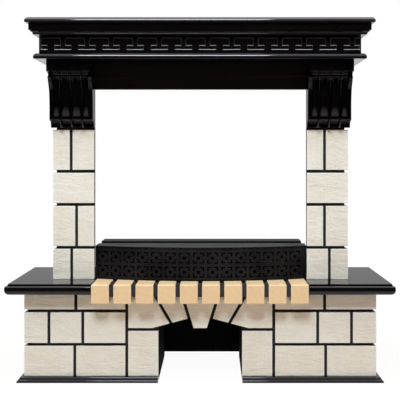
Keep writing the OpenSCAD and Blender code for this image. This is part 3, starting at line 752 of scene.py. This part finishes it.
def screwGroup():
    group, sockets, taken = startGroup("crossScrew", ("Head radius", "Shank radius",
                                                      "Head height", "Length"))

    def scaled(value, factor):
        return calculate(group, "MULTIPLY", value, factor)

    radius, height, length = taken["Head radius"], taken["Head height"], taken["Length"]
    shankLength = calculate(group, "SUBTRACT", length, height)
    disc = addStep(group, "GeometryNodeMeshCylinder",
                   {"Vertices": pinLook["headSides"], "Radius": radius, "Depth": height})
    shank = addStep(group, "GeometryNodeMeshCylinder",
                    {"Vertices": pinLook["shankSides"], "Radius": taken["Shank radius"],
                     "Depth": shankLength})
    recessed = addStep(group, "GeometryNodeMeshBoolean",
                       {"Mesh 1": lifted(group, disc, scaled(shankLength, 0.5))},
                       operation="DIFFERENCE", solver="EXACT")
    long, slim = scaled(radius, pinLook["crossLength"]), scaled(radius, pinLook["crossWidth"])
    deep = scaled(height, pinLook["crossDepth"])
    for size in ((long, slim, deep), (slim, long, deep)):
        bar = addStep(group, "GeometryNodeMeshCube", {"Size": vectorOf(group, *size)})
        group.links.new(lifted(group, bar, scaled(length, 0.5)), recessed.inputs["Mesh 2"])
    whole = addStep(group, "GeometryNodeJoinGeometry")
    group.links.new(recessed.outputs[0], whole.inputs[0])
    group.links.new(lifted(group, shank, scaled(height, -0.5)), whole.inputs[0])
    endGroup(group, taken, whole.outputs[0])
    return group, sockets


def growPins(name, group, sockets, values, places):
    mesh = bpy.data.meshes.new(name)
    mesh.from_pydata([place["middle"] for place in places], [], [])
    turns = mesh.attributes.new("turn", "FLOAT_VECTOR", "POINT")
    for k, place in enumerate(places):
        turns.data[k].vector = place["direction"].to_track_quat("Z", "Y").to_euler()
    holder = bpy.data.objects.new(name, mesh)
    bpy.context.scene.collection.objects.link(holder)
    modifier = holder.modifiers.new("pins", "NODES")
    modifier.node_group = group
    for label, value in values.items():
        modifier[sockets[label]] = value
    grown = bmesh.new()
    grown.from_mesh(evaluatedMesh(holder))
    bpy.data.objects.remove(holder)
    return grown


def joinMeshes(parts):
    whole = bmesh.new()
    for part in parts:
        scratch = bpy.data.meshes.new("part")
        part.to_mesh(scratch)
        part.free()
        whole.from_mesh(scratch)
        bpy.data.meshes.remove(scratch)
    return whole


def makeDowels():
    sizes = {}
    for place in pinPlaces("dowels"):
        size = (round(place["length"], 4), round(place["radius"], 4))
        sizes.setdefault(size, []).append(place)
    group, sockets = dowelGroup()
    grown = [growPins("dowels", group, sockets,
                      {"Radius": radius, "Length": length, "Flute": pinLook["flute"],
                       "Finish": beech}, places)
             for (length, radius), places in sizes.items()]
    whole = joinMeshes(grown)
    smoothShading(whole, pinLook["dowelCrease"])
    placePiece(pieceName("dowels", "fluted"), whole, beech, "surround",
               ["dowels"], weighted=False)


def makeScrews():
    places = pinPlaces("bracket_screws")
    length, radius = places[0]["length"], places[0]["radius"]
    group, sockets = screwGroup()
    whole = growPins("bracketScrews", group, sockets,
                     {"Head radius": radius, "Shank radius": radius * pinLook["shankShare"],
                      "Head height": pinLook["headHeight"], "Length": length,
                      "Finish": zincSteel}, places)
    smoothShading(whole, pinLook["screwCrease"])
    placePiece(pieceName("bracket_screws", "crossed"), whole, zincSteel, "surround",
               ["bracket_screws"], weighted=False)


makeDowels()
makeScrews()
print("dowels and screws grown")


# Cast stones, worn round at the rim and uneven on the face; a painted highlight pales the rim and
# the sides

stoneShape = {
    "seed": 41, "seedStep": (31.0, 17.0, 7.0), "grid": 0.0045, "crease": 50,
    "rim": 0.0009, "loops": (0.0003, 0.0007, 0.0013),
    "wave": 0.0012, "waveAcross": 21.0, "waveUp": 46.0, "waveRoughness": 0.9, "waveGap": 2.1,
    "waveOctaves": 4, "waveRamp": 0.004,
    "ragged": 0.0002, "raggedScale": 90.0, "raggedBand": 0.001,
    # the band of painted highlight along the rim, and its share on the sides
    "rimHighlightBand": 0.0035, "sideHighlightShare": 0.6,
}


def gapToOutline(point, outline):
    best = 1.0
    for first, second in zip(outline, outline[1:] + outline[:1]):
        run = second - first
        share = max(0.0, min(1.0, (point - first).dot(run) / run.length_squared))
        best = min(best, (point - first - share * run).length)
    return best


def gridFace(bm, outline, outward):
    face = bm.faces.new([bm.verts.new(p) for p in outline])
    reach = 0.0
    for loop in stoneShape["loops"]:
        bmesh.ops.inset_individual(bm, faces=[face], thickness=loop - reach)
        reach = loop
    low, high = boxOf(outline)
    for axis in range(3):
        if abs(outward[axis]) > 0.5:
            continue  # no cuts across the stone's depth
        length = high[axis] - low[axis]
        cuts = round(length / stoneShape["grid"])
        direction = axisVector(axis)
        for k in range(1, cuts):
            cutPlane(bm, direction * (low[axis] + length * k / cuts), direction)


def wearFace(gaps, middle, outward, tone):
    shape = stoneShape
    seed = Vector([tone * step for step in shape["seedStep"]])
    for v, gap in gaps.items():
        spot = Vector((v.co.x + v.co.y, v.co.z, 0)) + seed
        wave = noise.fractal((spot.x * shape["waveAcross"], spot.y * shape["waveUp"], tone),
                             shape["waveRoughness"], shape["waveGap"], shape["waveOctaves"])
        depth = shape["wave"] * (0.5 + 0.5 * max(-1.0, min(1.0, wave)))
        depth *= min(1.0, gap / shape["waveRamp"])
        if gap < shape["rim"]:
            inner = shape["rim"] - gap
            depth += shape["rim"] - math.sqrt(max(0.0, shape["rim"] ** 2 - inner ** 2))
        if gap < shape["raggedBand"]:
            ragged = noise.noise(v.co * shape["raggedScale"] + seed)
            inward = (middle - v.co).normalized()
            v.co += inward * shape["ragged"] * (0.5 + 0.5 * ragged)
        v.co -= outward * depth


def closeBack(bm, back, outward):
    border = [e for e in bm.edges if len(e.link_faces) == 1]
    for v in bmesh.ops.extrude_edge_only(bm, edges=border)["geom"]:
        if isinstance(v, bmesh.types.BMVert):
            v.co += outward * (back - v.co).dot(outward)
    bmesh.ops.holes_fill(bm, edges=[e for e in bm.edges if len(e.link_faces) == 1])
    bmesh.ops.recalc_face_normals(bm, faces=bm.faces)


def addStone(target, outline, outward, thickness, tone):
    bm = bmesh.new()
    gridFace(bm, outline, outward)
    middle = sum(outline, Vector()) / len(outline)
    gaps = {v: gapToOutline(v.co, outline) for v in bm.verts}
    wearFace(gaps, middle, outward, tone)
    closeBack(bm, middle - outward * thickness, outward)
    for v, twin in copyInto(target["bm"], bm).items():
        # painted highlight: full at the rim, fading across the band, a share on the sides
        twin[target["tone"]] = tone
        twin[target["rim"]] = (max(0.0, 1.0 - gaps[v] / stoneShape["rimHighlightBand"])
                               if v in gaps else stoneShape["sideHighlightShare"])
    bm.free()


def lowestCorner(part):
    return min(tuple(v.co) for f in part for v in f.verts)


def makeStones(name, rng):
    source = mergedCopy(name)
    bm = bmesh.new()
    target = {"bm": bm, "tone": bm.verts.layers.float.new("tone"),
              "rim": bm.verts.layers.float.new("rim")}
    for part in sorted(looseParts(source), key=lowestCorner):
        low, high = boxOf(v.co for f in part for v in f.verts)
        across, deep = high.x - low.x, high.y - low.y
        if deep < across:
            outward, thickness = Vector((0, -1, 0)), deep
        else:
            outward, thickness = Vector((math.copysign(1, low.x), 0, 0)), across
        front = max(facingFaces(part, outward), key=lambda f: f.calc_area())
        addStone(target, [v.co.copy() for v in front.verts], outward, thickness, rng.random())
    source.free()
    smoothShading(bm, stoneShape["crease"])
    placePiece(pieceName(name, "weathered"), bm, castStone, "surround", [name],
               weighted=False)


stoneNodes = [entry["node"] for entry in frame["record"]["subparts"]
              if entry["material_slot"] == "cast_stone"]
stoneRng = random.Random(stoneShape["seed"])
for name in stoneNodes:
    makeStones(name, stoneRng)
print("stones made")


# Beam ends of pale wood with eased edges, painted paler along the edges as a highlight

beamLook = {"count": 10, "ease": 0.0032, "segments": 3, "flatFrom": 4e-4, "crease": 40, "seed": 7}


def makeBeamEnd(number, tone):
    name = "beam_end_%d" % number
    bm = mergedCopy(name)
    toneLayer = bm.verts.layers.float.new("tone")
    edgeHighlightLayer = bm.verts.layers.float.new("rim")
    softenEdges(bm, beamLook["ease"], beamLook["segments"])
    # painted highlight: the eased edge faces take the pale edge colour, the flat faces do not
    flat = {v for f in bm.faces if f.calc_area() > beamLook["flatFrom"] for v in f.verts}
    for v in bm.verts:
        v[toneLayer] = tone
        v[edgeHighlightLayer] = 0.0 if v in flat else 1.0
    smoothShading(bm, beamLook["crease"])
    placePiece("beam-end-eased-%02d" % number, bm, palePine, "surround", [name])


beamRng = random.Random(beamLook["seed"])
for number in range(1, beamLook["count"] + 1):
    makeBeamEnd(number, beamRng.random())
print("beam ends made")


# Corbels: fluted face between half-round ribs, on a scroll foot. A profile point is
# (out from the plane behind the carving, up from the foot), in metres.

corbelShape = {
    "plane": 0.010, "step": 0.0008, "crease": 38,
    "foot": [(0.009, 0.0), (0.0105, 0.0006), (0.0112, 0.003), (0.0115, 0.0088),
             (0.0180, 0.0208)],
    "scroll": ((0.0265, 0.030), 0.0095, -104, -6, 9),  # centre, radius, degrees, steps
    "sweep": ((0.0361, 0.0335), (0.0350, 0.060), (0.0335, 0.105), (0.0535, 0.151), 44),
    "bead": ((0.066, 0.160), 0.0085, 215, 95, 7),
    "plate": [(0.012, 0.0375), (0.0006, 0.0366), (0, 0.0360), (0, 0.001),
              (0.0005, 0)],  # back and down from the top of the front
    "ribs": 3, "ribTop": 0.0024, "ribFoot": 0.0046, "ribWideTo": 0.030, "ribSlimFrom": 0.110,
    "ribLine": [(0.000, 0.0130), (0.003, 0.0215), (0.008, 0.0295), (0.015, 0.0352),
                (0.025, 0.0388), (0.036, 0.0402), (0.060, 0.0396), (0.090, 0.0420),
                (0.120, 0.0478), (0.151, 0.0590), (0.162, 0.0680), (0.172, 0.0810),
                (0.178, 0.0878), (0.210, 0.0878)],
    "flutes": [(0.0215, 0.0085), (0.0514, 0.0130), (0.0856, 0.0130), (0.1155, 0.0085)],
    "fluteDepth": 0.0056, "scoopFrom": 0.0360, "scoopTo": 0.082, "endFrom": 0.150,
    "endTo": 0.157,
    "marginOut": 0.010, "marginIn": (0.0105, 0.0150), "marginRise": (0.108, 0.152),
    "marginFall": (0.156, 0.163),
}


def arcPoints(centre, radius, start, end, steps):
    angles = [math.radians(start + (end - start) * k / steps) for k in range(steps + 1)]
    return [(centre[0] + radius * math.cos(a), centre[1] + radius * math.sin(a)) for a in angles]


def bezierPoints(a, b, c, d, steps):
    points = []
    for k in range(steps + 1):
        t = k / steps
        w = ((1 - t) ** 3, 3 * t * (1 - t) ** 2, 3 * t * t * (1 - t), t ** 3)
        points.append(tuple(sum(wi * p[i] for wi, p in zip(w, (a, b, c, d))) for i in (0, 1)))
    return points


def corbelProfile(height, reach):
    shape = corbelShape
    plate = [(reach - back, height - down) for back, down in shape["plate"]]
    return (shape["foot"] + arcPoints(*shape["scroll"]) + bezierPoints(*shape["sweep"])
            + arcPoints(*shape["bead"]) + plate)


def easeBetween(value, low, high):
    share = min(1.0, max(0.0, (value - low) / (high - low)))
    return share * share * (3 - 2 * share)


def alongLine(line, up):
    for low, high in zip(line, line[1:]):
        if up <= high[0]:
            share = (up - low[0]) / (high[0] - low[0])
            return low[1] + (high[1] - low[1]) * share
    return line[-1][1]


def ribAt(across, up, width):
    shape = corbelShape
    foot = 1.0 - easeBetween(up, shape["ribWideTo"], shape["ribSlimFrom"])
    half = shape["ribTop"] + (shape["ribFoot"] - shape["ribTop"]) * foot
    rib = 0.0
    for k in range(1, shape["ribs"] + 1):
        gap = abs(across - k * width / (shape["ribs"] + 1)) / half
        rib = max(rib, math.sqrt(max(0.0, 1.0 - gap * gap)))
    return rib


def fluteAt(across, up):
    shape = corbelShape
    hollow = 0.0
    for centre, reach in shape["flutes"]:
        gap = abs(across - centre) / reach
        hollow = max(hollow, 1.0 - gap ** 4)
    scoop = (up - shape["scoopFrom"]) / (shape["scoopTo"] - shape["scoopFrom"])
    scoop = min(1.0, max(0.0, scoop))
    length = scoop * (2.0 - scoop) * (1.0 - easeBetween(up, shape["endFrom"], shape["endTo"]))
    return hollow * shape["fluteDepth"] * length


def corbelRelief(across, out, up, width):
    shape = corbelShape
    rib = ribAt(across, up, width)
    proud = max(0.0, alongLine(shape["ribLine"], up) - out)
    margin = 1.0 - easeBetween(min(across, width - across), *shape["marginIn"])
    margin *= easeBetween(up, *shape["marginRise"])
    margin *= 1.0 - easeBetween(up, *shape["marginFall"])
    raised = max(rib * proud, margin * shape["marginOut"])
    return raised - (1.0 - rib) * fluteAt(across, up)


def makeCorbel(name):
    shape = corbelShape
    low, high = (Vector(c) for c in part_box(name))
    width = high.x - low.x
    steps = round(width / shape["step"])
    bm = bmesh.new()
    rows = []
    for out, up in corbelProfile(high.z - low.z, high.y - low.y - shape["plane"]):
        row = []
        for k in range(steps + 1):
            across = width * k / steps
            face = out + corbelRelief(across, out, up, width)
            row.append(bm.verts.new((low.x + across, high.y - shape["plane"] - face, low.z + up)))
        rows.append(row)
    for lower, upper in zip(rows, rows[1:]):
        for k in range(steps):
            bm.faces.new((lower[k], lower[k + 1], upper[k + 1], upper[k]))
    backLow = [bm.verts.new((x, high.y, low.z)) for x in (low.x, high.x)]
    backHigh = [bm.verts.new((x, high.y, high.z)) for x in (low.x, high.x)]
    bm.faces.new([row[0] for row in rows] + [backHigh[0], backLow[0]])
    bm.faces.new([row[-1] for row in reversed(rows)] + [backLow[1], backHigh[1]])
    bm.faces.new(rows[0] + [backLow[1], backLow[0]])
    bm.faces.new(list(reversed(rows[-1])) + [backHigh[0], backHigh[1]])
    bm.faces.new((backLow[0], backLow[1], backHigh[1], backHigh[0]))
    bmesh.ops.recalc_face_normals(bm, faces=bm.faces)
    smoothShading(bm, shape["crease"])
    placePiece(pieceName(name, "carved"), bm, lacquer["carved"], "surround",
               [name])


for name in ("corbel_left", "corbel_right"):
    makeCorbel(name)
print("corbels made")


# Fender: pierced sheet, rim and cheeks

fenderLook = {
    "crease": 25,
    "rounding": {"fender_grille": 0, "fender_rim": 0.0006, "fender_cheeks": 0.0005},
}
for name, rounding in fenderLook["rounding"].items():
    bm = mergedCopy(name)
    if rounding:
        softenEdges(bm, rounding)
    smoothShading(bm, fenderLook["crease"])
    placePiece(pieceName(name, "coated"), bm, charcoal, "fender", [name])
print("fender made")


# Floor, background and lamps. The camera sees white, and gloss sees a pale studio.

floorLook = {
    "halfWidth": 12.0, "paint": (0.68, 0.59, 0.52), "shadowShare": 0.07, "shadowTo": 0.7,
    "plainFrom": 1.7, "glow": 1.03, "dark": 0.02, "mirrored": 0.9, "litFrom": -0.98,
    "litTo": -0.45,
}


def makeFloor():
    look = floorLook
    half = look["halfWidth"]
    mesh = bpy.data.meshes.new("floor")
    mesh.from_pydata([(-half, -half, 0), (half, -half, 0), (half, half, 0), (-half, half, 0)],
                     [], [(0, 1, 2, 3)])
    floor = bpy.data.objects.new("floor", mesh)
    bpy.context.scene.collection.objects.link(floor)
    material, tree = newMaterial("paleFloor")[:2]
    tree.nodes.clear()
    place = addNode(tree, "TexCoord").outputs["Object"]
    rays = addNode(tree, "LightPath").outputs
    matte = addNode(tree, "BsdfDiffuse", {"Color": opaque(look["paint"])})
    reach = addNode(tree, "VectorMath", {0: place}, operation="LENGTH").outputs["Value"]
    shadow = spread(tree, reach, look["shadowShare"], 0.0, look["shadowTo"], look["plainFrom"])
    seen = calculate(tree, "MULTIPLY", rays["Is Camera Ray"],
                     calculate(tree, "SUBTRACT", 1.0, shadow))
    glow = addNode(tree, "Emission", {"Color": opaque(white), "Strength": look["glow"]})
    depth = addNode(tree, "SeparateXYZ", {"Vector": place}).outputs["Y"]
    strength = spread(tree, depth, look["dark"], look["mirrored"], look["litFrom"],
                      look["litTo"])
    mirrored = addNode(tree, "Emission", {"Color": opaque(white), "Strength": strength})
    plain = mixShaders(tree, seen, matte, glow)
    whole = mixShaders(tree, rays["Is Glossy Ray"], plain, mirrored)
    addNode(tree, "OutputMaterial", {"Surface": whole.outputs[0]})
    mesh.materials.append(material)


worldLook = {
    "fill": (1.0, 0.74, 0.56), "fillStrength": 0.20,
    "front": 0.010, "behind": 0.40, "frontTo": -0.1, "behindFrom": 0.8,
    "haze": 0.8, "hazeFrom": 0.16, "hazeTo": 0.46, "above": 0.6, "aboveFrom": 0.80,
    "aboveTo": 0.92,
}


def makeWorld():
    look = worldLook
    world = bpy.data.worlds.new("studio")
    bpy.context.scene.world = world
    world.use_nodes = True
    tree = world.node_tree
    tree.nodes.clear()
    direction = addNode(tree, "TexCoord").outputs["Generated"]
    parts = addNode(tree, "SeparateXYZ", {"Vector": direction}).outputs
    rays = addNode(tree, "LightPath").outputs
    level = spread(tree, parts["Y"], look["front"], look["behind"], look["frontTo"],
                   look["behindFrom"])
    haze = spread(tree, parts["Z"], 0.0, look["haze"], look["hazeFrom"], look["hazeTo"])
    above = spread(tree, parts["Z"], 0.0, look["above"], look["aboveFrom"], look["aboveTo"])
    strength = calculate(tree, "ADD", level, calculate(tree, "ADD", haze, above))

    def background(colour, power):
        return addNode(tree, "Background", {"Color": opaque(colour), "Strength": power})

    lit = mixShaders(tree, rays["Is Glossy Ray"],
                     background(look["fill"], look["fillStrength"]), background(white, strength))
    whole = mixShaders(tree, rays["Is Camera Ray"], lit, background(white, 1.0))
    addNode(tree, "OutputWorld", {"Surface": whole.outputs[0]})


lampLook = {
    "aim": (0.0, 0.0, 0.6),
    "lamps": {
        "keySoftbox": {"place": (-0.25, -2.75, 3.35), "size": (1.4, 0.9), "watts": 129.0,
                       "colour": (0.775, 0.900, 1.0)},
        "topSoftbox": {"place": (0.0, -0.75, 3.4), "size": (3.2, 2.0), "watts": 78.0,
                       "colour": (0.90, 0.95, 1.0)},
    },
}


def makeLamps():
    for name, facts in lampLook["lamps"].items():
        light = bpy.data.lights.new(name, "AREA")
        light.shape = "RECTANGLE"
        light.size, light.size_y = facts["size"]
        light.energy = facts["watts"]
        light.color = facts["colour"]
        lamp = bpy.data.objects.new(name, light)
        lamp.location = facts["place"]
        aim = Vector(lampLook["aim"]) - lamp.location
        lamp.rotation_euler = aim.to_track_quat("-Z", "Y").to_euler()
        bpy.context.scene.collection.objects.link(lamp)


# The camera stands level, a little right of the middle, and its frame is shifted down

view = {"place": (0.043, -2.709, 0.707), "focal": 74.07, "sensor": 36.0,
        "shiftX": -0.035, "shiftY": -0.1125}


def makeCamera():
    data = bpy.data.cameras.new("photoView")
    data.sensor_width = view["sensor"]
    data.lens = view["focal"]
    data.shift_x = view["shiftX"]
    data.shift_y = view["shiftY"]
    camera = bpy.data.objects.new("photoView", data)
    camera.location = view["place"]
    camera.rotation_euler = (math.radians(90), 0, 0)
    bpy.context.scene.collection.objects.link(camera)
    bpy.context.scene.camera = camera


makeFloor()
makeWorld()
makeLamps()
makeCamera()
bpy.context.scene.view_settings.view_transform = "Standard"
print("stage, lamps and camera set")
